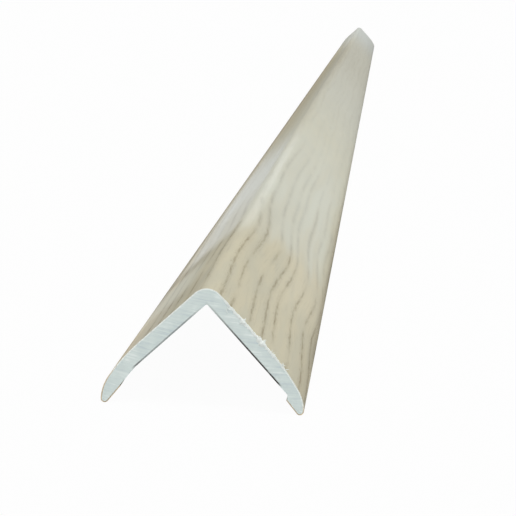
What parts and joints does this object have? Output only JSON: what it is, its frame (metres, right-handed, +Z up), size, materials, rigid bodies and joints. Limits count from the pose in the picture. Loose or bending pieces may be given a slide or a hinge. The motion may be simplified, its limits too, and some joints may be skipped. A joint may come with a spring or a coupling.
{
  "type": "corner guard moulding",
  "caption": "Straight right-angle guard for an outside wall corner: pale PVC profile wrapped with whitewashed-oak film, flat backs for bonding and hooked, rounded leg edges.",
  "frame": {"origin": "on the floor below the middle of the corner, where the moulding lies on its two leg tips with the corner up", "axes": "+Y along the length, +X to the right leg when looking along +Y, +Z up through the corner"},
  "size_m": [0.0352, 2.4, 0.0209],
  "materials": {
    "pvc": "matte",
    "film": "satin"
  },
  "bodies": {
    "root": {"pvc_profile": "pvc", "woodgrain_film": "film"}
  },
  "joints": []
}
